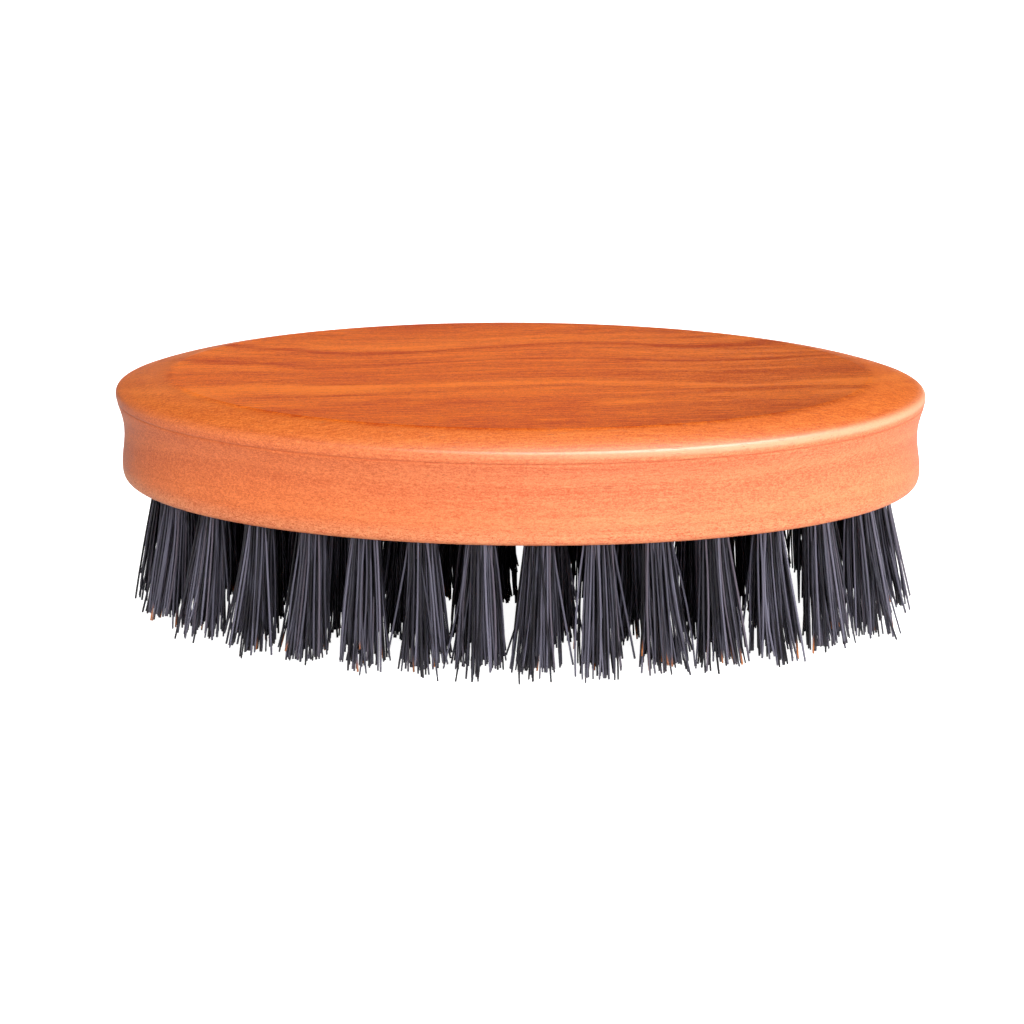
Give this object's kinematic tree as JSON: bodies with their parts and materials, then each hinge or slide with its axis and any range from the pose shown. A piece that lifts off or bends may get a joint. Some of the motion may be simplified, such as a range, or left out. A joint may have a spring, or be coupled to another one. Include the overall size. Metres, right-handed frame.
{
  "type": "beard brush",
  "caption": "Oval palm brush for beards: a one-piece wooden block with a finger groove round its side and tufts of boar bristle set in drilled holes.",
  "frame": {"origin": "centre of the brush on the plane of the trimmed bristle tips, which it stands on", "axes": "+X along the block's length, +Y across it, +Z from the bristle tips to the flat back of the block"},
  "size_m": [0.115, 0.054, 0.036],
  "materials": {
    "oiled_wood": "satin",
    "boar_bristle": "satin",
    "anchor_wire": "satin"
  },
  "bodies": {
    "root": {"wooden_block": "oiled_wood", "tuft_centre_01": "boar_bristle", "tuft_centre_02": "boar_bristle", "tuft_centre_03": "boar_bristle", "tuft_centre_04": "boar_bristle", "tuft_centre_05": "boar_bristle", "tuft_centre_06": "boar_bristle", "tuft_centre_07": "boar_bristle", "tuft_centre_08": "boar_bristle", "tuft_centre_09": "boar_bristle", "tuft_centre_10": "boar_bristle", "tuft_middle_01": "boar_bristle", "tuft_middle_02": "boar_bristle", "tuft_middle_03": "boar_bristle", "tuft_middle_04": "boar_bristle", "tuft_middle_05": "boar_bristle", "tuft_middle_06": "boar_bristle", "tuft_middle_07": "boar_bristle", "tuft_middle_08": "boar_bristle", "tuft_middle_09": "boar_bristle", "tuft_middle_10": "boar_bristle", "tuft_middle_11": "boar_bristle", "tuft_middle_12": "boar_bristle", "tuft_middle_13": "boar_bristle", "tuft_middle_14": "boar_bristle", "tuft_middle_15": "boar_bristle", "tuft_middle_16": "boar_bristle", "tuft_middle_17": "boar_bristle", "tuft_middle_18": "boar_bristle", "tuft_outer_01": "boar_bristle", "tuft_outer_02": "boar_bristle", "tuft_outer_03": "boar_bristle", "tuft_outer_04": "boar_bristle", "tuft_outer_05": "boar_bristle", "tuft_outer_06": "boar_bristle", "tuft_outer_07": "boar_bristle", "tuft_outer_08": "boar_bristle", "tuft_outer_09": "boar_bristle", "tuft_outer_10": "boar_bristle", "tuft_outer_11": "boar_bristle", "tuft_outer_12": "boar_bristle", "tuft_outer_13": "boar_bristle", "tuft_outer_14": "boar_bristle", "tuft_outer_15": "boar_bristle", "tuft_outer_16": "boar_bristle", "tuft_outer_17": "boar_bristle", "tuft_outer_18": "boar_bristle", "tuft_outer_19": "boar_bristle", "tuft_outer_20": "boar_bristle", "tuft_outer_21": "boar_bristle", "tuft_outer_22": "boar_bristle", "tuft_outer_23": "boar_bristle", "tuft_outer_24": "boar_bristle", "tuft_outer_25": "boar_bristle", "tuft_outer_26": "boar_bristle", "tuft_outer_27": "boar_bristle", "tuft_outer_28": "boar_bristle", "tuft_outer_29": "boar_bristle", "tuft_outer_30": "boar_bristle"}
  },
  "joints": []
}
